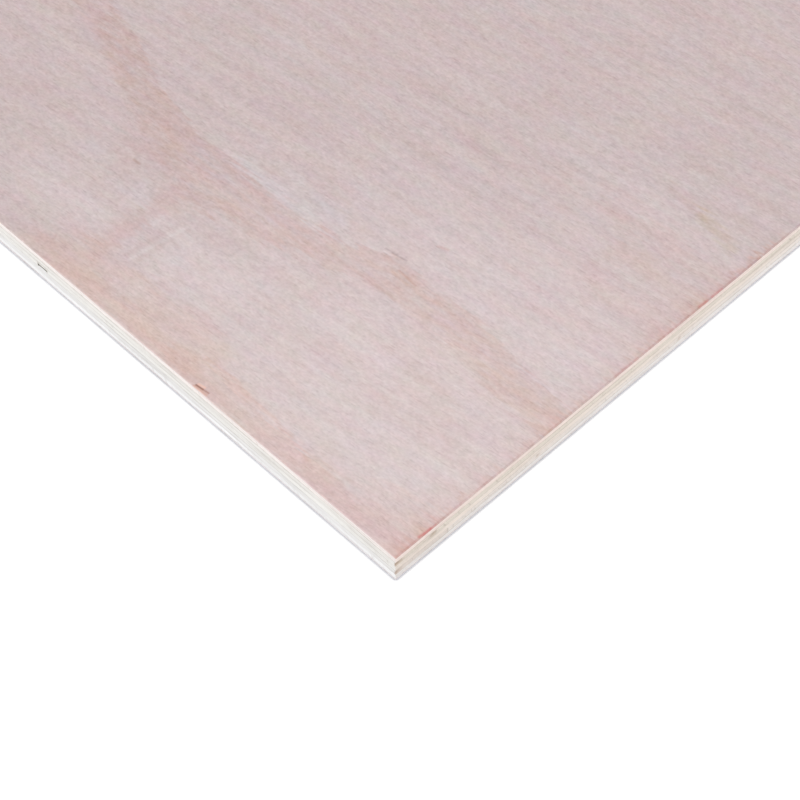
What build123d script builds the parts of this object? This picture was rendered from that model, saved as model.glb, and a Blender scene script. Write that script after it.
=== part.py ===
from build123d import *
import os

# A plywood sheet: veneers glued crosswise into one flat panel, lying face up.
# Millimetres. +Z is up through the thickness, +X runs along the grain of the face.
# The origin is the centre of the underside.

# The sheet as trimmed and sold
SHEET_LENGTH = 2440.0
SHEET_WIDTH = 1220.0

# Veneers as pressed
FACE_THICKNESS = 0.5
CORE_THICKNESS = 2.2
BACK_THICKNESS = 0.5

# The outside edges of the face and the back are rounded off by the sander
ARRIS_RADIUS = 0.2
ARRIS_LIMIT_SHARE = 0.8

# A core ply is laid up from strips of veneer, side by side across its grain
STRIP_WIDTH = 640.0
TIGHT_JOINT = 0.6
OPEN_JOINT = 5.0

# What trimming left of each core ply's first strip, at the corner +X, -Y
CROSS_1_TRIMMED = 428.0
LONG_2_TRIMMED = 17.0
CROSS_3_TRIMMED = 162.5
LONG_4_TRIMMED = 22.0
CROSS_5_TRIMMED = 305.0

# Core plies from the face down: node, grain, first strip and the joint after it.
# Grain along Y crosses the face, grain along X runs with it.
CORE_LAYUP = (
    ("cross_ply_1", Axis.Y, CROSS_1_TRIMMED, TIGHT_JOINT),
    ("long_ply_2", Axis.X, LONG_2_TRIMMED, TIGHT_JOINT),
    ("cross_ply_3", Axis.Y, CROSS_3_TRIMMED, OPEN_JOINT),
    ("long_ply_4", Axis.X, LONG_4_TRIMMED, TIGHT_JOINT),
    ("cross_ply_5", Axis.Y, CROSS_5_TRIMMED, TIGHT_JOINT),
)


def veneer(length, width, thickness, base):
    """One flat piece of veneer, standing on the centre of its underside."""
    return Pos(base) * Box(length, width, thickness, align=(Align.CENTER, Align.CENTER, Align.MIN))


def strip_spans(ply_width, first_width, first_joint):
    """Start and end of each strip across a ply, measured from its first edge."""
    spans = []
    start, width, joint = 0, first_width, first_joint
    while start + width + joint < ply_width:
        spans.append((start, start + width))
        start += width + joint
        width, joint = STRIP_WIDTH, TIGHT_JOINT
    spans.append((start, ply_width))
    return spans


def cross_strip(start, end, bottom):
    """A strip with its grain across the sheet, measured from the end at +X."""
    base = Vector(SHEET_LENGTH / 2 - (start + end) / 2, 0, bottom)
    return veneer(end - start, SHEET_WIDTH, CORE_THICKNESS, base)


def long_strip(start, end, bottom):
    """A strip with its grain along the sheet, measured from the edge at -Y."""
    base = Vector(0, (start + end) / 2 - SHEET_WIDTH / 2, bottom)
    return veneer(SHEET_LENGTH, end - start, CORE_THICKNESS, base)


def core_ply(grain, first_width, first_joint, bottom):
    """A core ply: strips that lie side by side, with core gaps between them."""
    ply_width, strip = (SHEET_WIDTH, long_strip) if grain == Axis.X else (SHEET_LENGTH, cross_strip)
    spans = strip_spans(ply_width, first_width, first_joint)
    return Compound([strip(start, end, bottom) for start, end in spans])


def outer_veneer(thickness, bottom, outside):
    """The face or the back: one whole veneer with a sanded arris round its outside."""
    blank = veneer(SHEET_LENGTH, SHEET_WIDTH, thickness, Vector(0, 0, bottom))
    arris = blank.edges().group_by(Axis.Z)[outside]
    return fillet(arris, min(ARRIS_RADIUS, thickness * ARRIS_LIMIT_SHARE))


def sheet():
    """Every ply under its node's name, laid up from the back to the face."""
    lowest, highest = 0, -1
    plies = {"back_veneer": outer_veneer(BACK_THICKNESS, 0, lowest)}
    level = BACK_THICKNESS
    for node, grain, first_width, first_joint in reversed(CORE_LAYUP):
        plies[node] = core_ply(grain, first_width, first_joint, level)
        level += CORE_THICKNESS
    plies["face_veneer"] = outer_veneer(FACE_THICKNESS, level, highest)
    return plies


if __name__ == "__main__":
    os.makedirs("parts", exist_ok=True)
    for node, ply in sheet().items():
        export_step(ply, f"parts/{node}.step")
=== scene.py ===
import itertools
import math
import random

import bpy
from mathutils import Color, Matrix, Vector, noise


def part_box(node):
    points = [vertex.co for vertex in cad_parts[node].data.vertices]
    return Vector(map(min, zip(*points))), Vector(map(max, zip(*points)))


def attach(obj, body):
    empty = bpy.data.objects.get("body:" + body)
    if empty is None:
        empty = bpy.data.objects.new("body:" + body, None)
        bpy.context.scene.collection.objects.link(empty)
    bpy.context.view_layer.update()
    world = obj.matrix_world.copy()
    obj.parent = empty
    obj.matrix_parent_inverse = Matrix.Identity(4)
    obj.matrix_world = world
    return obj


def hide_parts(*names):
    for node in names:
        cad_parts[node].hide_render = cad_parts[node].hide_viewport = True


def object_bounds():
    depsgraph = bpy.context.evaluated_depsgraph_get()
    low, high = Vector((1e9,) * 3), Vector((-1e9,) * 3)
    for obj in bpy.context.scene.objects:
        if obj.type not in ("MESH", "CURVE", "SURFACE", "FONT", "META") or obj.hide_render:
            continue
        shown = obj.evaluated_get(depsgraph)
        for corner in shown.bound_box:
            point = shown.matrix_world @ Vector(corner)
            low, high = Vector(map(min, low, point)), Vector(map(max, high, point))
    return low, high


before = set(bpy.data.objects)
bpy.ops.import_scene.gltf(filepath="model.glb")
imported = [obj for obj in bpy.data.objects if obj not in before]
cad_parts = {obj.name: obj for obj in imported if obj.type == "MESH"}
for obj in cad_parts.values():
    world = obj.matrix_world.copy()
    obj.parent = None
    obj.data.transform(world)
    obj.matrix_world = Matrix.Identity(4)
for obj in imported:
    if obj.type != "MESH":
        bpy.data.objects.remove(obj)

# Looks of a plywood sheet: seven plies of sanded and sawn wood, on a white floor in soft studio light

# The CAD model's box, and the photographed corner of the face at +X, -Y
LOW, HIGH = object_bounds()
CORNER = Vector((HIGH.x, LOW.y, HIGH.z))
MM = 0.001

# Colours, and the gloss of bare wood
SCREEN_WHITE = 255
OPAQUE = 1.0
WHITE = (1.0, 1.0, 1.0, OPAQUE)
WOOD_SPECULAR = 0.25

# Camera, from the photographed corner of the face
CAMERA_OFFSET = Vector((292.47, -286.25, 622.16)) * MM
CAMERA_AZIMUTH = math.radians(45.43)
CAMERA_DEPRESSION = math.radians(53.04)
CAMERA_LENS = 112.5
CAMERA_SENSOR = 36.0

# Light: a white dome and a wide soft key from the left of the camera
DOME_LEVEL = 0.6
KEY_TOWARDS = Vector((0.33, -0.67, 0.67))
KEY_LEVEL = 0.6 * math.pi
KEY_ANGLE = math.radians(40)

# White floor, with a painted contact shadow: the narrow dark line where the sheet meets it is drawn into the
# floor's colour and glow from an ambient occlusion node
FLOOR_SPAN = 60.0
FLOOR_SHADE = (0.87, 0.87, 0.87, OPAQUE)
FLOOR_GLOW = 0.30
PAINTED_SHADOW_REACH = 1.5 * MM
PAINTED_SHADOW_SAMPLES = 8
PAINTED_CONTACT_SHADOW = (0.18, 0.18, 0.23, OPAQUE)
WALL_OPENNESS = 0.5

# Sides of the sheet, with the way in from each and the axis that each runs along,
# the two that each axis ends at, and the two that meet at the photographed corner
X, Y, Z = range(3)
SIDES = {"south": Vector((0, 1)), "east": Vector((-1, 0)), "north": Vector((0, -1)), "west": Vector((1, 0))}
RUN_AXIS = {"south": X, "east": Y, "north": X, "west": Y}
AXIS_ENDS = {X: ("west", "east"), Y: ("south", "north")}
CORNER_SIDES = ("south", "east")

# Mesh attribute that says how far a point is drawn towards a dark brown: each strip's own tone, and the torn
# pockets, which are drawn darker and browner
SHADE = "shade"

# Every noise has a layer of its own, shifted away from the others
LAYER_SHIFT = 13.7
NOISE_MEAN = 0.5
noise_layers = itertools.count(1)

# Shader nodes: vector operations that give a number, where a new point of a curve or ramp starts,
# and the sockets of a mix node that are for colours
NUMBER_OPERATIONS = ("DOT_PRODUCT", "DISTANCE", "LENGTH")
NEW_POINT = 0.5
MIX_AMOUNT, MIX_FIRST, MIX_SECOND = 0, 6, 7
MIX_RESULT = 2


def linear(red, green, blue):
    """A colour written as it looks on screen, 0 to 255, as the shader needs it."""
    screen = Color((red, green, blue)) / SCREEN_WHITE
    return (*screen.from_srgb_to_scene_linear(), OPAQUE)


def toned(colour, shares):
    """A colour with each of its channels at a share of its own."""
    return [share * channel for share, channel in zip(shares, colour)] + [OPAQUE]


class Field:
    """A value that varies over a surface: a socket of a node tree, with arithmetic."""

    def __init__(self, tree, socket):
        self.tree = tree
        self.socket = socket

    def math(self, operation, *inputs):
        """What a math node gives, with this field as its first input."""
        return math_node(self.tree, operation, self, *inputs)

    def __add__(self, other):
        return self.math("ADD", other)

    def __mul__(self, other):
        return self.math("MULTIPLY", other)

    def __sub__(self, other):
        return self.math("SUBTRACT", other)

    def __rsub__(self, other):
        return math_node(self.tree, "SUBTRACT", other, self)

    def __truediv__(self, other):
        return self.math("DIVIDE", other)

    def clamped(self):
        """Held between 0 and 1."""
        return self.math("MAXIMUM", 0.0).math("MINIMUM", 1.0)

    def between(self, low, high):
        """Low where the field is 0 and high where it is 1."""
        return self.math("MULTIPLY_ADD", high - low, low)

    def smooth(self, low, high):
        """0 below low, 1 above high, with a smooth step between them; low may be the higher one."""
        node = self.tree.nodes.new("ShaderNodeMapRange")
        node.interpolation_type = "SMOOTHSTEP"
        for name, value in (("Value", self), ("From Min", low), ("From Max", high)):
            feed(self.tree, node.inputs[name], value)
        return Field(self.tree, node.outputs["Result"])


def feed(tree, socket, value):
    """Links a field to a socket, or writes a plain value on it."""
    if isinstance(value, Field):
        tree.links.new(value.socket, socket)
    else:
        socket.default_value = value


def math_node(tree, operation, *inputs):
    """What a math node gives for fields and plain numbers."""
    node = tree.nodes.new("ShaderNodeMath")
    node.operation = operation
    for socket, value in zip(node.inputs, inputs):
        feed(tree, socket, value)
    return Field(tree, node.outputs[0])


def vector_node(tree, operation, *inputs, scale=None):
    """What a vector math node gives for fields and plain vectors."""
    node = tree.nodes.new("ShaderNodeVectorMath")
    node.operation = operation
    for socket, value in zip(node.inputs, inputs):
        feed(tree, socket, value)
    if scale is not None:
        feed(tree, node.inputs["Scale"], scale)
    return Field(tree, node.outputs["Value" if operation in NUMBER_OPERATIONS else "Vector"])


def place(tree):
    """X, Y and Z in the sheet's own frame."""
    coordinates = tree.nodes.new("ShaderNodeTexCoord")
    split = tree.nodes.new("ShaderNodeSeparateXYZ")
    tree.links.new(coordinates.outputs["Object"], split.inputs[0])
    return [Field(tree, output) for output in split.outputs]


def vector(tree, *parts):
    """A vector of up to three fields."""
    node = tree.nodes.new("ShaderNodeCombineXYZ")
    for socket, value in zip(node.inputs, parts):
        feed(tree, socket, value)
    return Field(tree, node.outputs[0])


def shade_attribute(tree):
    """How far each point of an edge is drawn towards a dark brown, as its mesh says."""
    node = tree.nodes.new("ShaderNodeAttribute")
    node.attribute_name = SHADE
    return Field(tree, node.outputs["Fac"])


def grain_noise(tree, along, across, marks):
    """Noise from 0 to 1, drawn out along the grain: marks are a length and a width in mm, and a detail."""
    length, width, detail = marks
    shift = LAYER_SHIFT * next(noise_layers)
    node = tree.nodes.new("ShaderNodeTexNoise")
    node.noise_dimensions = "2D"
    spot = [along.math("MULTIPLY_ADD", 1 / (length * MM), shift)]
    spot.append(across.math("MULTIPLY_ADD", 1 / (width * MM), -shift))
    feed(tree, node.inputs["Vector"], vector(tree, *spot))
    node.inputs["Scale"].default_value = 1.0
    node.inputs["Detail"].default_value = detail
    return Field(tree, node.outputs[0])


def swing(tree, along, across, marks):
    """The same noise, about zero."""
    return grain_noise(tree, along, across, marks) - NOISE_MEAN


def layered(tree, along, across, layers):
    """Grain of several sizes, about zero: each row is a length and a width in mm, a detail and an amount."""
    total = 0.0
    for *marks, amount in layers:
        total = swing(tree, along, across, marks).math("MULTIPLY_ADD", amount, total)
    return total


def curve(tree, value, points, span):
    """A smooth curve through listed points, over a square of the given span."""
    node = tree.nodes.new("ShaderNodeFloatCurve")
    line = node.mapping.curves[0]
    while len(line.points) < len(points):
        line.points.new(NEW_POINT, NEW_POINT)
    for handle, (at, level) in zip(line.points, points):
        handle.location = (at / span, level / span)
    node.mapping.update()
    feed(tree, node.inputs["Value"], value / span)
    return Field(tree, node.outputs[0]) * span


def stroke(tree, spot, start, end, half_width):
    """1 on a straight stroke between two points in mm, fading to 0 at half its width."""
    first = Vector((*start, 0)) * MM
    run = Vector((*end, 0)) * MM - first
    from_first = vector_node(tree, "SUBTRACT", spot, first)
    part = vector_node(tree, "DOT_PRODUCT", from_first, run / run.length_squared).clamped()
    nearest = vector_node(tree, "SCALE", run, scale=part)
    return vector_node(tree, "DISTANCE", from_first, nearest).smooth(half_width * MM, 0.0)


def added(field, amounts, steps):
    """Steps of colour, each with its own amount of a field added."""
    return [
        field.math("MULTIPLY_ADD", amount, step) if amount else step
        for amount, step in zip(amounts, steps)
    ]


def ramp(tree, value, stops):
    """A colour for each value from 0 to 1."""
    node = tree.nodes.new("ShaderNodeValToRGB")
    elements = node.color_ramp.elements
    while len(elements) < len(stops):
        elements.new(NEW_POINT)
    for element, (at, colour) in zip(elements, stops):
        element.position = at
        element.color = colour
    feed(tree, node.inputs[0], value)
    return Field(tree, node.outputs["Color"])


def mix(tree, amount, first, second):
    """The first colour at amount 0 and the second at amount 1, and on past them."""
    node = tree.nodes.new("ShaderNodeMix")
    node.data_type = "RGBA"
    node.clamp_factor = False
    for index, value in ((MIX_AMOUNT, amount), (MIX_FIRST, first), (MIX_SECOND, second)):
        feed(tree, node.inputs[index], value)
    return Field(tree, node.outputs[MIX_RESULT])


def new_material(name):
    """A material and its node tree."""
    material = bpy.data.materials.new(name)
    material.use_nodes = True
    return material, material.node_tree


def finish_wood(tree, colour, height, relief, roughness):
    """Bare sanded or sawn wood: little gloss, with its fine relief as bump."""
    shader = tree.nodes["Principled BSDF"]
    bump = tree.nodes.new("ShaderNodeBump")
    bump.inputs["Distance"].default_value = relief
    feed(tree, bump.inputs["Height"], height)
    tree.links.new(bump.outputs[0], shader.inputs["Normal"])
    feed(tree, shader.inputs["Base Color"], colour)
    shader.inputs["Roughness"].default_value = roughness
    shader.inputs["Specular IOR Level"].default_value = WOOD_SPECULAR


# Grain of the face runs a few degrees off the sheet's length and wanders
GRAIN_SKEW = 0.09
WANDER = 7 * MM
WANDER_MARKS = (200, 50, 2)

# Grain in the veneer: length and width in mm, detail, and how much darker, pinker and yellower it is
GRAIN_LAYERS = (
    (130, 5, 2, (0.32, 0.20, 0.0)),
    (60, 14, 2, (0.20, 0.20, 0.0)),
    (26, 4.2, 2, (0.46, 0.40, 0.0)),
    (3.4, 1.8, 2, (0.80, -0.10, 0.0)),
    (1.2, 0.8, 1, (0.70, -0.20, 0.0)),
    (90, 30, 2, (0.0, 0.40, 0.0)),
    (12, 5, 2, (0.0, 1.35, 0.0)),
    (3, 1.8, 1, (0.0, 0.65, 0.0)),
    (90, 40, 2, (0.0, 0.0, 0.50)),
    (14, 6, 2, (0.0, 0.0, 1.85)),
    (3, 2, 1, (0.0, 0.0, 0.75)),
)
FIBRE_MARKS = (2.8, 0.5, 1)
FIBRE_TONE = 0.32
FIBRE_RELIEF = 0.5
VESSEL_MARKS = (5, 0.45, 1)
VESSEL_LEVELS = (0.60, 0.78)
VESSEL_TONE = 0.30
FACE_RELIEF = 0.04 * MM
FACE_ROUGHNESS = 0.65

# Wood of the face: its lightest tone, and what one step darker, redder, yellower or pinker adds to it
FACE_LIGHT = (220, 205, 205)
DARKER_STEP = (-24, -26, -26)
REDDER_STEP = (6, -2, -4)
YELLOWER_STEP = (0.5, 0.5, -4)
PINKER_STEP = (5.4, -2.6, -0.2)
SHEET_DARKER = 0.70
SHEET_REDDER = 0.10
SHEET_YELLOWER = 0.08

# Growth figure of a whole sheet: contours of slow noise, with tongues along the grain, sharp on one side
CONTOUR_MARKS = (1400, 250, 1)
CONTOUR_COUNT = 8
TONGUE_MARKS = (350, 30, 1)
TONGUE_DEPTH = 0.6
CONTOUR_SHARP = 0.04
CONTOUR_SOFT = 0.55
STRENGTH_MARKS = (700, 160, 1)
STRENGTH_LEVELS = (0.3, 0.7)
WEAKEST_CONTOUR = 0.35
BROAD_MARKS = (500, 300, 1)
BROAD_TONE = 0.8

# The photographed corner is lighter; round it the figure is the photo's, and past that the sheet's own
LIGHT_REACH = (200 * MM, 60 * MM)
LIGHT_TONE = -0.54
FIGURE_REACH = (330 * MM, 220 * MM)
RAGGED_LAYERS = ((14, 1.8, 2, 9),)

# The dark growth band by that corner: its sharp upper edge and its depth in mm,
# by distance from the corner along the sheet, with distances in from the long edge
BAND_SPAN = 300
BAND_EDGE = (
    (0, 78), (20, 79.5), (40, 82.5), (60, 83), (80, 82.5), (90, 80.5), (100, 76), (110, 73.3),
    (125, 72.5), (140, 73), (160, 73.5), (185, 77), (230, 92), (300, 104),
)
BAND_DEPTH = (
    (0, 14.5), (40, 15.5), (60, 15.5), (80, 15), (95, 14), (106, 13.5), (114, 16), (125, 17.5),
    (137, 19.5), (145, 25), (160, 22), (175, 18), (210, 15), (300, 10),
)
BAND_SHARP = 1.4 * MM
BAND_SOFT = (1.12, 0.82)
BAND_STEPS = (0.26, 0.52, 0.15)
BAND_STREAK_MARKS = (45, 2.2, 2)
BAND_STREAK_TONE = 0.25
BAND_DASH_MARKS = (7, 2, 1)
BAND_DASH_STEPS = (0.35, 0.9, 1.0)

# Strokes of the same figure, grouped by place: start and end, each as its distance in mm from the end
# of the sheet and from its long edge, half width in mm, and how much darker, redder and yellower
LONG_EDGE_STROKES = (
    ((172, 2), (108, 3), 8, (0.09, 0.60, 0.5)),
    ((160, 10), (143, 8), 14, (0.06, 0.45, 0.4)),
    ((134, 15), (96, 14), 9, (0.13, 0.55, 0.5)),
    ((130, 6), (98, 6), 8, (0.10, 0.30, 0.6)),
    ((102, 3), (58, 3), 8, (0.28, 0.70, 0.5)),
    ((95, 10), (45, 6.5), 2.0, (0.12, 0.50, 0.2)),
    ((92, 10), (76, 9.5), 4.5, (0.10, 0.25, 0.7)),
    ((50, 3), (0, 3), 9, (0.32, 1.00, -0.1)),
    ((44, 8), (34, 7), 5, (0.12, 0.20, 0.5)),
    ((14, 13), (0, 14), 11, (0.12, 0.50, 0.1)),
)
BELOW_BAND_STROKES = (
    ((192, 22), (168, 27), 16, (-0.26, -0.10, -0.05)),
    ((190, 42), (182, 42), 8, (-0.14, -0.30, 0.0)),
    ((164, 43), (160, 40), 7, (-0.14, -0.35, 0.0)),
    ((155, 46), (154, 14), 7, (0.14, 0.50, 0.1)),
    ((150, 40), (149, 20), 2.5, (-0.12, -0.20, 0.0)),
    ((135, 36), (133, 14), 9, (-0.18, -0.30, 0.0)),
    ((126, 28), (112, 34), 16, (-0.14, 0.0, 0.0)),
    ((104, 42), (74, 41), 8, (0.11, 0.0, -0.1)),
    ((48, 40), (18, 42), 9, (0.19, 0.25, 0.0)),
    ((46, 51), (34, 51), 9, (0.18, 0.15, 0.2)),
)
BAND_STROKES = (
    ((184, 55), (168, 54), 8, (0.16, 0.25, 0.0)),
    ((165, 68), (148, 66), 8, (-0.04, -0.20, 0.0)),
    ((162, 67), (126, 66), 10, (-0.07, -0.05, -0.5)),
    ((160, 54), (147, 53), 5, (-0.10, -0.25, 0.0)),
    ((150, 61), (138, 61), 6, (0.06, 0.05, 0.0)),
    ((150, 74.8), (114, 74.8), 4, (-0.20, -0.40, -0.25)),
    ((133, 80), (108, 81), 7, (-0.08, -0.35, -0.2)),
    ((54, 66), (10, 66), 9, (0.08, 0.10, 0.3)),
)
ABOVE_BAND_STROKES = (
    ((112, 122), (58, 125), 9, (0.12, 0.10, -0.2)),
    ((110, 98), (0, 94), 22, (0.0, -0.10, -0.15)),
    ((104, 137), (62, 138), 8, (0.12, 0.10, 0.2)),
    ((80, 160), (0, 158), 16, (-0.08, -0.10, 0.0)),
    ((48, 149), (0, 150), 8, (0.12, 0.45, 0.0)),
    ((40, 102), (14, 102), 9, (0.10, 0.40, -0.1)),
    ((40, 168.4), (25, 166.7), 3.2, (0.17, 0.20, 0.4)),
    ((34, 122), (0, 121), 9, (0.20, 0.50, -0.3)),
    ((34, 136), (0, 135), 8, (0.14, 0.40, 0.3)),
    ((25, 166.7), (9.5, 163.5), 4.2, (0.22, 0.15, 1.4)),
)
END_STROKES = (
    ((2, 16), (2, 140), 12, (0.06, 0.25, 0.15)),
    ((2, 0), (2, 15), 5, (0.20, 0.40, 0.1)),
    ((2, 98), (2, 165), 5, (0.04, 0.15, 0.0)),
    ((0.3, -5), (0.3, 175), 2.6, (0.22, 0.50, 0.2)),
    ((0.3, 157), (0.3, 180), 2.6, (0.20, 0.40, 0.3)),
)
FIGURE_STROKES = (
    LONG_EDGE_STROKES + BELOW_BAND_STROKES + BAND_STROKES + ABOVE_BAND_STROKES + END_STROKES
)

# Thin sharp marks of the figure, in the same way
FINE_STROKES = (
    ((141.0, 41), (143.6, 20), 1.3, (-0.22, -0.20, 0.0)),
    ((143.4, 42), (146.0, 20), 1.5, (0.16, 0.10, 0.0)),
    ((139.0, 42), (141.4, 22), 1.4, (0.12, 0.10, 0.0)),
    ((175.6, 49.5), (173.0, 49.6), 0.9, (0.70, 0.40, 0.3)),
    ((167.6, 7.8), (168.4, 9.5), 0.9, (0.40, 0.20, 0.0)),
    ((88.4, 82.4), (83.6, 83.3), 0.6, (0.55, 0.0, -0.2)),
    ((85.4, 82.6), (79.8, 83.6), 0.6, (0.65, 0.0, -0.2)),
    ((88.0, 81.2), (83.8, 82.2), 0.6, (-0.35, -0.1, 0.0)),
    ((78.6, 79.0), (70.4, 78.2), 0.8, (0.45, 0.55, 0.3)),
    ((79.6, 77.0), (72.5, 76.6), 1.2, (0.20, 0.40, 0.5)),
    ((83.3, 68.1), (72.5, 69.6), 1.0, (0.30, 0.20, 0.0)),
    ((77.0, 95.2), (73.6, 96.5), 1.0, (0.30, 0.80, 0.0)),
)

# The end arris is darker in patches, with torn red fibres in mm: start, end, half width and amount
ARRIS_REACH = (0.9 * MM, 0.2 * MM)
ARRIS_TONE = 0.55
PATCH_MARKS = (6, 6, 2)
PATCH_LEVELS = (0.3, 0.6)
ARRIS_SHARES = (0.4, 1.0)
TEAR_SHARES = (0.8, 1.0)
TEAR_STROKES = (
    ((0, 0), (0, 9), 1.2, 0.15), ((0.5, 10.4), (0.3, 12.0), 0.9, 0.65),
    ((0.2, 12.4), (0.2, 15.0), 0.9, 0.90), ((0.1, 14.8), (0.1, 17.0), 0.7, 0.50),
    ((0.2, 18), (0.1, 46), 0.9, 0.10), ((0.1, 97), (0.1, 107), 1.2, 0.18),
    ((0.1, 106), (0.1, 134), 0.9, 0.12), ((0.4, 137), (0.2, 140.5), 1.0, 0.45),
    ((0.2, 143), (0.1, 147.5), 1.0, 0.45), ((0.1, 150), (0.1, 260), 0.9, 0.08),
)
TEAR_TONE = linear(203, 116, 115)

# The splinter on the long arris: torn zone, light fringe and dark core in the same way, with their tones
SPLINTER_ALONG = 87.2
SPLINTER_HALF = 3.2
SPLINTER_STROKES = (
    ((90.2, 0.3), (84.8, 0.7), 0.9, 0.75, linear(214, 172, 157)),
    ((89.6, 1.7), (87.3, 2.2), 0.8, 0.80, linear(240, 198, 182)),
    ((90.0, 1.0), (87.2, 1.3), 0.62, 0.95, linear(158, 110, 96)),
    ((87.2, 1.3), (84.8, 1.6), 0.55, 0.70, linear(170, 122, 108)),
)


def sheet_figure(tree, along, across):
    """How much darker, redder and yellower the growth figure of a whole sheet makes the wood."""
    contours = grain_noise(tree, along, across, CONTOUR_MARKS) * CONTOUR_COUNT
    tongues = grain_noise(tree, along, across, TONGUE_MARKS) * TONGUE_DEPTH
    step = (contours + tongues).math("FRACT")
    strength = grain_noise(tree, along, across, STRENGTH_MARKS).smooth(*STRENGTH_LEVELS)
    arches = step.smooth(0.0, CONTOUR_SHARP) * step.smooth(CONTOUR_SOFT, CONTOUR_SHARP)
    arches = arches * strength.between(WEAKEST_CONTOUR, 1.0)
    darker, redder, yellower = (arches * amount for amount in BAND_STEPS)
    broad = swing(tree, along, across, BROAD_MARKS)
    return darker + broad * BROAD_TONE, redder, yellower


def band(tree, along, across):
    """1 in the dark growth band, sharp at its upper edge and soft below, and the distance below that edge."""
    edge, depth = (
        curve(tree, along, [(at * MM, level * MM) for at, level in table], BAND_SPAN * MM)
        for table in (BAND_EDGE, BAND_DEPTH)
    )
    below = edge - across
    return below.smooth(0.0, BAND_SHARP) * (below / depth).smooth(*BAND_SOFT), below


def corner_figure(tree, along, across):
    """How much darker, redder and yellower the figure by the photographed corner makes the wood."""
    ragged = layered(tree, along, across + along * GRAIN_SKEW, RAGGED_LAYERS) * MM
    frayed = along + ragged, across + ragged
    growth, below = band(tree, *frayed)
    steps = [growth * amount for amount in BAND_STEPS]
    tables = (FIGURE_STROKES, vector(tree, *frayed)), (FINE_STROKES, vector(tree, along, across))
    for strokes, spot in tables:
        for start, end, half_width, amounts in strokes:
            mark = stroke(tree, spot, start, end, half_width)
            steps = added(mark, amounts, steps)
    streaks = swing(tree, along, below, BAND_STREAK_MARKS)
    steps[0] = steps[0] + growth * streaks * BAND_STREAK_TONE
    dashes = swing(tree, along, across + along * GRAIN_SKEW, BAND_DASH_MARKS)
    return added(growth * dashes, BAND_DASH_STEPS, steps)


def wood_colour(tree, darker, redder, yellower, pinker):
    """The wood's lightest tone, changed by steps darker, redder, yellower and pinker."""
    light = Vector(linear(*FACE_LIGHT)[:3])
    colour = light
    changes = (darker, DARKER_STEP), (redder, REDDER_STEP), (yellower, YELLOWER_STEP), (pinker, PINKER_STEP)
    for step, change in changes:
        changed = Vector(linear(*(level + part for level, part in zip(FACE_LIGHT, change)))[:3])
        colour = vector_node(tree, "MULTIPLY_ADD", step, changed - light, colour)
    return colour


def veneer_grain(tree, along, across):
    """Steps darker, pinker and yellower in sanded rotary-cut veneer, and its relief."""
    wander = swing(tree, along, across, WANDER_MARKS)
    grain = across + along * GRAIN_SKEW + wander * WANDER
    vessels = grain_noise(tree, along, grain, VESSEL_MARKS).smooth(*VESSEL_LEVELS)
    fibres = swing(tree, along, grain, FIBRE_MARKS)
    steps = [vessels * VESSEL_TONE + fibres * FIBRE_TONE + SHEET_DARKER, 0.0, SHEET_YELLOWER]
    for *marks, amounts in GRAIN_LAYERS:
        steps = added(swing(tree, along, grain, marks), amounts, steps)
    return steps, fibres * FIBRE_RELIEF - vessels


def torn_fibres(tree, spot, patches, colour):
    """The colour with the red torn fibres of the end arris, and with the splinter of the long one."""
    fibres = patches.between(*TEAR_SHARES)
    for start, end, half_width, amount in TEAR_STROKES:
        tear = stroke(tree, spot, start, end, half_width) * fibres
        colour = mix(tree, tear * amount, colour, TEAR_TONE)
    for start, end, half_width, amount, tone in SPLINTER_STROKES:
        colour = mix(tree, stroke(tree, spot, start, end, half_width) * amount, colour, tone)
    return colour


def face_wood(name):
    """The face: pinkish veneer, with the photo's figure round the photographed corner."""
    material, tree = new_material(name)
    x, y, _ = place(tree)
    along, across = CORNER.x - x, y - CORNER.y
    spot = vector(tree, along, across)
    away = vector_node(tree, "LENGTH", spot)
    by_corner = away.smooth(*FIGURE_REACH)
    near, wide = corner_figure(tree, along, across), sheet_figure(tree, along, across)
    darker, redder, yellower = (own + (close - own) * by_corner for own, close in zip(wide, near))

    patches = grain_noise(tree, across, along, PATCH_MARKS).smooth(*PATCH_LEVELS)
    arris = along.smooth(*ARRIS_REACH) * patches.between(*ARRIS_SHARES) * ARRIS_TONE
    (grain_darker, pinker, grain_yellower), height = veneer_grain(tree, along, across)
    light = away.smooth(*LIGHT_REACH) * LIGHT_TONE
    colour = wood_colour(
        tree, darker + grain_darker + light + arris, redder + SHEET_REDDER, yellower + grain_yellower, pinker,
    )
    colour = torn_fibres(tree, spot, patches, colour)
    finish_wood(tree, colour, height, FACE_RELIEF, FACE_ROUGHNESS)
    return material


def back_wood(name):
    """The back: the same kind of veneer with a figure of its own."""
    material, tree = new_material(name)
    x, y, _ = place(tree)
    darker, redder, yellower = sheet_figure(tree, x, y)
    (grain_darker, pinker, grain_yellower), height = veneer_grain(tree, x, y)
    colour = wood_colour(
        tree, darker + grain_darker, redder + SHEET_REDDER, yellower + grain_yellower, pinker,
    )
    finish_wood(tree, colour, height, FACE_RELIEF, FACE_ROUGHNESS)
    return material


# Grain on the sawn edges: length along the edge, height, detail and amount
SAWN_LAYERS = {
    "end": ((24, 2.5, 2, 0.5), (30, 0.5, 2, 1.0), (0.35, 0.3, 1, 0.4)),
    "side": ((24, 2.5, 2, 0.5), (40, 0.45, 2, 1.1), (3.0, 0.25, 1, 0.4)),
}
CHECK_MARKS = {"end": (1.1, 4.0, 1), "side": (12.0, 0.25, 1)}
CHECK_LEVELS = (0.64, 0.82)
CHECK_TONE = 0.3
SAW_MARKS = (0.7, 9.0, 2)
SAW_TONE = 0.25
SAW_SLANT = 0.35
SAWN_RELIEF = 0.05 * MM
SAWN_ROUGHNESS = 0.75

# Tones of a sawn edge: the lightest and the darkest as shares of its colour, at these tones of its grain
LIGHT_SHARES = (1.06, 1.06, 1.06)
DARK_SHARES = (0.76, 0.74, 0.72)
MIDDLE_TONE = 0.5
SAWN_TONES = (0.25, MIDDLE_TONE, 1.0)
DARK_BROWN_TONE = linear(150, 116, 86)

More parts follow.
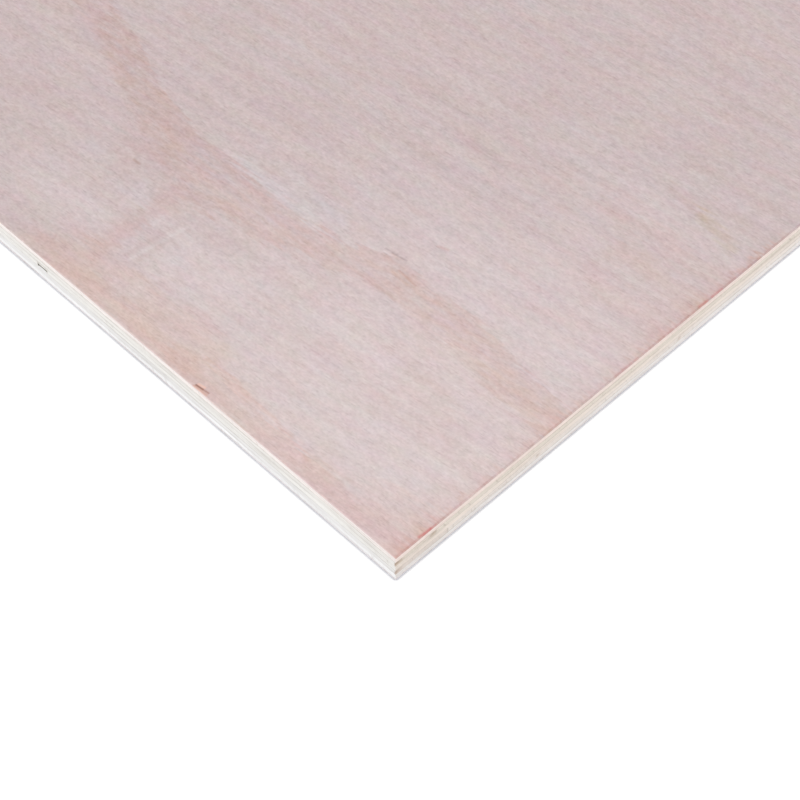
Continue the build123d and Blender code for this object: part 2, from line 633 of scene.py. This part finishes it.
# Glue lines between the plies, paler in places
GLUE_WIDTH = 0.42 * MM
GLUE_TONE = 0.5
GLUE_PATCH_MARKS = (15, 15, 2)
GLUE_LEVELS = (0.2, 0.7)

# Hidden sides of the core strips
JOINT_TONE = linear(214, 208, 198)
JOINT_LAYERS = ((6, 1, 2, 1.0), (1, 0.5, 1, 0.6))
JOINT_TONES = (0.3, 0.8)
JOINT_RELIEF = 0.1 * MM
JOINT_ROUGHNESS = 0.8


def sawn_wood(name, colour, run_axis, kind, glue_levels):
    """A sawn edge of one ply, with the grain running into it (end) or along it (side)."""
    material, tree = new_material(name)
    position = place(tree)
    run, rise = position[run_axis], position[Z]
    fine = layered(tree, run, rise, SAWN_LAYERS[kind])
    slanted = run + rise * SAW_SLANT
    checks = grain_noise(tree, slanted, rise, CHECK_MARKS[kind]).smooth(*CHECK_LEVELS)
    saw = swing(tree, slanted, rise, SAW_MARKS)
    patches = grain_noise(tree, run, rise, GLUE_PATCH_MARKS).smooth(*GLUE_LEVELS)
    tone = fine + saw * SAW_TONE + checks * CHECK_TONE + MIDDLE_TONE
    for level in glue_levels:
        line = (rise - level).math("ABSOLUTE").smooth(GLUE_WIDTH, 0.0)
        tone = tone + line * patches * GLUE_TONE
    tones = toned(colour, LIGHT_SHARES), colour, toned(colour, DARK_SHARES)
    shade = ramp(tree, tone, list(zip(SAWN_TONES, tones)))
    shade = mix(tree, shade_attribute(tree).clamped(), shade, DARK_BROWN_TONE)
    finish_wood(tree, shade, saw + fine - checks, SAWN_RELIEF, SAWN_ROUGHNESS)
    return material


def joint_wood(name):
    """The hidden sides of a core strip, stained by glue, which show only in an open joint."""
    material, tree = new_material(name)
    x, y, z = place(tree)
    tone = layered(tree, x + y, z, JOINT_LAYERS) + MIDDLE_TONE
    tones = JOINT_TONE, toned(JOINT_TONE, DARK_SHARES)
    shade = ramp(tree, tone, list(zip(JOINT_TONES, tones)))
    finish_wood(tree, shade, tone, JOINT_RELIEF, JOINT_ROUGHNESS)
    return material


# Material slots of a core ply and of an outer veneer
CORE_SLOTS = {"end": 0, "side": 1, "joint": 2}
VENEER_SLOTS = {"flat": 0, "end": 1, "side": 2}

# Sawn edges: columns of points stand close together by the photographed corner
CORNER_REACH = 260 * MM
FINE_STEP = 0.6 * MM
COARSE_STEP = 2.5 * MM
ROW_SHARES = (0.0, 0.07, 0.28, 0.5, 0.72, 0.93, 1.0)
GLUE_GROOVE = 0.05 * MM
SAW_PITCH = 2.3 * MM
SAW_DEPTH = 0.03 * MM
FIBRE_DEPTH = {"end": 0.10 * MM, "side": 0.04 * MM}
FIBRE_RUN = {"end": 0.8 * MM, "side": 9.0 * MM}
FIBRE_RISE = {"end": 1.6 * MM, "side": 0.5 * MM}

# Pockets where the saw tore fibres out: a few all round the sheet, and on its end by the photographed
# corner some that are listed, with their distance from it and half length in mm, and strength
CORNER_POCKETS = {
    "long_ply_2": ((0.8, 3.4, 0.7), (16.2, 2.2, 0.5)),
    "cross_ply_3": ((10, 26, 0.13),),
    "long_ply_4": ((0.7, 2.6, 0.55), (62, 1.3, 0.4), (128, 1.3, 0.4)),
}
POCKET_DEPTH = 0.5 * MM
POCKET_FULL_SHARE = 0.5
# Torn pockets are also drawn darker and browner in colour, in step with their depth
POCKET_DARKENING = 0.8
POCKET_SPACING = (120 * MM, 420 * MM)
POCKET_HALF = (2 * MM, 6 * MM)
POCKET_STRENGTH = (0.3, 0.8)
POCKET_SEED = 12
STRIP_STAIN = 0.03
CORNER_STRIP_STAIN = {"long_ply_2": 0.10, "long_ply_4": 0.15}

# Joints between core strips, read to the micrometre from the frame: tight ones are nearly filled
# by glue, and into the open one the next plies sag
CUT_DIGITS = 6
FILLED_JOINT = 0.18 * MM
FILL_LIMIT = 0.5 * MM
OPEN_PLY = "cross_ply_3"
SAG = {"long_ply_2": -0.85 * MM, "long_ply_4": 0.85 * MM}
SAG_FLATNESS = 6

# Sanded arris of the outer veneers, with the chips that the saw tore out of it
ARRIS_RADIUS = 0.2 * MM
ARRIS_STEPS = 3
CHIP_DEPTH = {"end": 0.35 * MM, "side": 0.25 * MM}
CHIP_RUN = {"end": 2.5 * MM, "side": 11.0 * MM}
CHIP_LEVEL = {"end": 0.30, "side": 0.34}
SPLINTER_DEPTH = 0.3 * MM


def stations(start, end):
    """Points along an edge, from its start up to its end, which is the next edge's start."""
    run = end - start
    points, travelled = [], 0.0
    while travelled < run.length - FINE_STEP / 2:
        point = start + run.normalized() * travelled
        points.append(point)
        near = (point - CORNER.xy).length < CORNER_REACH
        travelled += FINE_STEP if near else COARSE_STEP
    return points


def columns(low, high, shown):
    """Points round a rectangle, each with the sawn sides that it lies on."""
    corners = [low.xy, Vector((high.x, low.y)), high.xy, Vector((low.x, high.y))]
    names = list(SIDES)
    found = []
    for index, side in enumerate(names):
        start, end = corners[index], corners[(index + 1) % len(corners)]
        points = stations(start, end) if side in shown else [start]
        before = names[index - 1]
        found.append((points[0], side, [name for name in (before, side) if name in shown]))
        found += [(point, side, [side]) for point in points[1:]]
    return found


def nothing(*where):
    """Zero everywhere."""
    return 0.0


class Mesh:
    """Points and faces of one piece, gathered from closed blocks."""

    def __init__(self):
        self.points, self.shades, self.faces, self.slots = [], [], [], []

    def block(self, around, rows, offset, slot_of, shade_of=nothing, lift_of=nothing):
        """A closed block of columns and rows, pushed in by an offset on its sawn sides, and lifted."""
        first, count = len(self.points), len(around)
        for z, inset in rows:
            for point, _, touching in around:
                at, shade = point.copy(), 0.0
                for side in touching:
                    run = point[RUN_AXIS[side]]
                    at += SIDES[side] * (inset + offset(side, run, z))
                    shade = max(shade, shade_of(side, run, z))
                self.points.append((at.x, at.y, z + lift_of(point.x, z)))
                self.shades.append(shade)
        for row in range(len(rows) - 1):
            for i, (_, side, _) in enumerate(around):
                a, b = first + row * count + i, first + row * count + (i + 1) % count
                self.faces.append((a, b, b + count, a + count))
                self.slots.append(slot_of(side, row))
        last = first + (len(rows) - 1) * count
        self.faces.append(tuple(reversed(range(first, first + count))))
        self.faces.append(tuple(range(last, last + count)))
        self.slots += [slot_of("under", 0), slot_of("over", len(rows) - 1)]

    def make(self, name, materials):
        """The gathered mesh as an object, with a material for each slot."""
        mesh = bpy.data.meshes.new(name)
        mesh.from_pydata(self.points, [], self.faces)
        for material in materials:
            mesh.materials.append(material)
        mesh.polygons.foreach_set("material_index", self.slots)
        mesh.attributes.new(SHADE, "FLOAT", "POINT").data.foreach_set("value", self.shades)
        mesh.update()
        piece = bpy.data.objects.new(name, mesh)
        bpy.context.scene.collection.objects.link(piece)
        return piece


def rough(run, rise, length, height, layer):
    """Smooth noise from 0 to 1 on an edge."""
    return (1 + noise.noise(Vector((run / length, rise / height, layer)))) / 2


def pockets(node, low, high):
    """Torn pockets in a ply's edges: side, place along the side, half length and strength."""
    found = [
        ("east", CORNER.y + away * MM, half * MM, strength)
        for away, half, strength in CORNER_POCKETS.get(node, ())
    ]
    draw = random.Random(POCKET_SEED + round(low.z / MM))
    for side, axis in RUN_AXIS.items():
        at = low[axis] + draw.uniform(*POCKET_SPACING)
        while at < high[axis]:
            half, strength = draw.uniform(*POCKET_HALF), draw.uniform(*POCKET_STRENGTH)
            if side not in CORNER_SIDES or abs(at - CORNER[axis]) > CORNER_REACH:
                found.append((side, at, half, strength))
            at += draw.uniform(*POCKET_SPACING)
    return found


def pocket_share(node, low, high):
    """How far in a torn pocket a point of a ply's edge lies, from 0 to 1."""
    found = pockets(node, low, high)
    middle, half_height = (low.z + high.z) / 2, (high.z - low.z) / 2

    def share(side, run, z):
        fill = min(1.0, (1 - abs(z - middle) / half_height) / (1 - POCKET_FULL_SHARE))
        deepest = 0.0
        for name, at, half, strength in found:
            if name == side:
                deepest = max(deepest, strength * (1 - abs(run - at) / half))
        return deepest * fill
    return share


def sawn_offset(kind, low, high, torn):
    """How far a ply's sawn edge lies behind the trimmed line, as a function of side, run and height."""
    layer = low.z / MM

    def offset(side, run, z):
        turn = math.tau * (run + z * SAW_SLANT) / SAW_PITCH
        saw = SAW_DEPTH * (1 + math.sin(turn)) / 2
        sort = kind[side]
        fibre = FIBRE_DEPTH[sort] * rough(run, z, FIBRE_RUN[sort], FIBRE_RISE[sort], layer)
        groove = GLUE_GROOVE if min(z - low.z, high.z - z) < GLUE_GROOVE else 0.0
        return saw + fibre + groove + POCKET_DEPTH * torn(side, run, z)
    return offset


def grain_kinds(end_sides):
    """Which sides of a ply show end grain and which show side grain."""
    return {side: "end" if side in end_sides else "side" for side in SIDES}


def strips(node, axis):
    """Lowest and highest corner of each strip of a core ply, with its tight joints filled by glue."""
    low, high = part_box(node)
    cuts = sorted({round(v.co[axis], CUT_DIGITS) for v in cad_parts[node].data.vertices})
    for i in range(1, len(cuts) - 1, 2):
        spread = (cuts[i + 1] - cuts[i] - FILLED_JOINT) / 2
        if spread < FILL_LIMIT:
            cuts[i], cuts[i + 1] = cuts[i] + spread, cuts[i + 1] - spread
    found = []
    for start, end in zip(cuts[0::2], cuts[1::2]):
        strip_low, strip_high = low.copy(), high.copy()
        strip_low[axis], strip_high[axis] = start, end
        found.append((strip_low, strip_high))
    return found


def sag(node, low, high):
    """How far a ply sags into the open joint of the ply beside it, as a function of run and height."""
    gaps = [(left[1].x, right[0].x) for left, right in itertools.pairwise(strips(OPEN_PLY, X))]
    joints = [(start, end) for start, end in gaps if end - start > FILL_LIMIT]
    depth = SAG.get(node, 0.0)
    fixed = high.z if depth < 0 else low.z

    def lift(run, z):
        total = 0.0
        for start, end in joints:
            part = (run - start) / (end - start)
            if 0 < part < 1:
                hang = 1 - abs(2 * part - 1) ** SAG_FLATNESS
                total += depth * hang * abs(z - fixed) / (high.z - low.z)
        return total
    return lift


def shown_sides(strip, ply, axis):
    """Sides of a strip that lie on the sheet's sawn edges, and not in a joint of its ply."""
    first, last = AXIS_ENDS[axis]
    shown = set(SIDES)
    if strip[0][axis] > ply[0][axis]:
        shown.discard(first)
    if strip[1][axis] < ply[1][axis]:
        shown.discard(last)
    return shown


def core_ply(node, slot, end_colour, side_colour):
    """A core ply as sawn strips, with end grain on two sides and side grain on the others."""
    axis, other = (X, Y) if node.startswith("cross") else (Y, X)
    kind = grain_kinds(AXIS_ENDS[other])
    low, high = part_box(node)
    rows = [(low.z + share * (high.z - low.z), 0.0) for share in ROW_SHARES]
    torn = pocket_share(node, low, high)
    offset = sawn_offset(kind, low, high, torn)
    lift = sag(node, low, high)
    draw = random.Random(POCKET_SEED + round(high.z / MM))
    mesh = Mesh()
    for strip in strips(node, axis):
        shown = shown_sides(strip, (low, high), axis)
        stain = dict.fromkeys(SIDES, draw.uniform(0, STRIP_STAIN))
        if strip[0].y == low.y:
            stain["east"] += CORNER_STRIP_STAIN.get(node, 0.0)
        mesh.block(
            columns(*strip, shown), rows, offset,
            lambda side, row: CORE_SLOTS[kind[side] if side in shown else "joint"],
            lambda side, run, z: stain[side] + POCKET_DARKENING * torn(side, run, z),
            lift,
        )
    glue_levels = low.z, high.z
    piece = mesh.make(node + "_sawn", [
        sawn_wood(node + "_end_grain", end_colour, axis, "end", glue_levels),
        sawn_wood(node + "_side_grain", side_colour, other, "side", glue_levels),
        joint_wood(node + "_joint"),
    ])
    dress(piece, node, slot)


def chip(kind, side, run, layer):
    """Depth of the chips that the saw tore out of an arris."""
    sort = kind[side]
    torn = noise.noise(Vector((run / CHIP_RUN[sort], layer, RUN_AXIS[side])))
    return CHIP_DEPTH[sort] * max(0.0, torn - CHIP_LEVEL[sort]) / (1 - CHIP_LEVEL[sort])


def outer_veneer(node, slot, outside_up, materials):
    """The face or the back: one veneer, with a rounded and slightly chipped outer arris.

    Its materials are those of its flat, of its two ends and of its two long sides.
    """
    low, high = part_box(node)
    kind = grain_kinds(AXIS_ENDS[X])
    turns = [math.pi / 2 * step / ARRIS_STEPS for step in range(ARRIS_STEPS + 1)]
    arris = [(high.z - ARRIS_RADIUS * (1 - math.sin(t)), ARRIS_RADIUS * (1 - math.cos(t))) for t in turns]
    rows = [(low.z, 0.0)] + arris
    if not outside_up:
        rows = [(low.z + high.z - z, inset) for z, inset in reversed(rows)]
    inner, outer = (low.z, high.z) if outside_up else (high.z, low.z)

    def offset(side, run, z):
        reach = (z - inner) / (outer - inner)
        torn = chip(kind, side, run, outer / MM)
        if side == "south" and outside_up:
            away = abs(CORNER.x - run - SPLINTER_ALONG * MM) / (SPLINTER_HALF * MM)
            torn += SPLINTER_DEPTH * max(0.0, 1 - away)
        return torn * reach * reach

    def slot_of(side, row):
        on_flat = side not in kind or outside_up and row > 0
        return VENEER_SLOTS["flat" if on_flat else kind[side]]

    mesh = Mesh()
    mesh.block(columns(low, high, set(SIDES)), rows, offset, slot_of)
    dress(mesh.make(node + "_sanded", materials), node, slot)


def dress(piece, node, slot):
    """The piece stands for its CAD node and moves with the sheet."""
    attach(piece, "root")
    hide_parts(node)


# Each core ply with the colour of its end grain and of its side grain, and the edges of the outer veneers
CORE_PLIES = (
    ("cross_ply_1", "cross_core", linear(234, 226, 223), linear(246, 230, 223)),
    ("long_ply_2", "long_core", linear(232, 222, 211), linear(223, 220, 216)),
    ("cross_ply_3", "cross_core", linear(226, 224, 221), linear(240, 229, 220)),
    ("long_ply_4", "long_core", linear(238, 229, 223), linear(221, 220, 219)),
    ("cross_ply_5", "cross_core", linear(234, 234, 235), linear(242, 238, 236)),
)
FACE_SIDE = linear(222, 208, 204)
BACK_END = linear(250, 249, 252)
BACK_SIDE = linear(237, 236, 239)


def make_sheet():
    """All seven plies."""
    for node, slot, end_colour, side_colour in CORE_PLIES:
        core_ply(node, slot, end_colour, side_colour)
    face, back = face_wood("face_wood"), back_wood("back_wood")
    face_glue = [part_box("face_veneer")[0].z]
    face_side = sawn_wood("face_veneer_side_edge", FACE_SIDE, X, "side", face_glue)
    outer_veneer("face_veneer", "face_veneer", True, [face, face, face_side])
    back_edges = [
        sawn_wood("back_veneer_end_edge", BACK_END, Y, "end", []),
        sawn_wood("back_veneer_side_edge", BACK_SIDE, X, "side", []),
    ]
    outer_veneer("back_veneer", "back_veneer", False, [back] + back_edges)


def make_floor():
    """A white floor that keeps the sheet's shadow, lifted to white for the camera, and with a painted contact
    shadow where the sheet meets it.
    """
    mesh = bpy.data.meshes.new("floor")
    half = FLOOR_SPAN / 2
    corners = [(-half, -half, 0), (half, -half, 0), (half, half, 0), (-half, half, 0)]
    mesh.from_pydata(corners, [], [(0, 1, 2, 3)])
    material, tree = new_material("floor_white")
    contact = tree.nodes.new("ShaderNodeAmbientOcclusion")
    contact.samples = PAINTED_SHADOW_SAMPLES
    contact.inputs["Distance"].default_value = PAINTED_SHADOW_REACH
    shadow_openness = Field(tree, contact.outputs["AO"])
    shader = tree.nodes["Principled BSDF"]
    # Painted shadow: the floor's colour turns darker and bluer where the ambient occlusion node finds the
    # sheet close by
    feed(tree, shader.inputs["Base Color"], mix(tree, shadow_openness, PAINTED_CONTACT_SHADOW, FLOOR_SHADE))
    shader.inputs["Roughness"].default_value = 1.0
    shader.inputs["Specular IOR Level"].default_value = 0.0
    shader.inputs["Emission Color"].default_value = WHITE
    # Painted shadow: the glow for the camera also fades out where the sheet is close by
    glow = shadow_openness.smooth(WALL_OPENNESS, 1.0) * FLOOR_GLOW
    feed(tree, shader.inputs["Emission Strength"], seen_directly(tree) * glow)
    mesh.materials.append(material)
    floor = bpy.data.objects.new("floor", mesh)
    bpy.context.scene.collection.objects.link(floor)


def seen_directly(tree):
    """1 for what the camera sees, also in a reflection or through glass, and 0 for light."""
    path = tree.nodes.new("ShaderNodeLightPath")
    camera, glossy, transmission = (
        Field(tree, path.outputs[name]) for name in ("Is Camera Ray", "Is Glossy Ray", "Is Transmission Ray")
    )
    return camera.math("MAXIMUM", glossy).math("MAXIMUM", transmission)


def make_light():
    """The dome, which the camera sees as white, and the key."""
    world = bpy.data.worlds.new("white_dome")
    world.use_nodes = True
    bpy.context.scene.world = world
    tree = world.node_tree
    background = tree.nodes["Background"]
    background.inputs["Color"].default_value = WHITE
    feed(tree, background.inputs["Strength"], seen_directly(tree).between(DOME_LEVEL, 1.0))
    lamp = bpy.data.lights.new("key", "SUN")
    lamp.energy = KEY_LEVEL
    lamp.angle = KEY_ANGLE
    key = bpy.data.objects.new("key", lamp)
    key.rotation_mode = "QUATERNION"
    key.rotation_quaternion = (-KEY_TOWARDS).to_track_quat("-Z", "Y")
    bpy.context.scene.collection.objects.link(key)


def make_camera():
    """The camera at the photo's place and angle."""
    data = bpy.data.cameras.new("camera")
    data.sensor_width = CAMERA_SENSOR
    data.lens = CAMERA_LENS
    camera = bpy.data.objects.new("camera", data)
    back = Vector((
        math.sin(CAMERA_AZIMUTH) * math.cos(CAMERA_DEPRESSION),
        -math.cos(CAMERA_AZIMUTH) * math.cos(CAMERA_DEPRESSION),
        math.sin(CAMERA_DEPRESSION),
    ))
    camera.location = CORNER + CAMERA_OFFSET
    camera.rotation_mode = "QUATERNION"
    camera.rotation_quaternion = (-back).to_track_quat("-Z", "Y")
    bpy.context.scene.collection.objects.link(camera)
    bpy.context.scene.camera = camera


make_sheet()
make_floor()
make_light()
make_camera()
bpy.context.scene.view_settings.view_transform = "Standard"
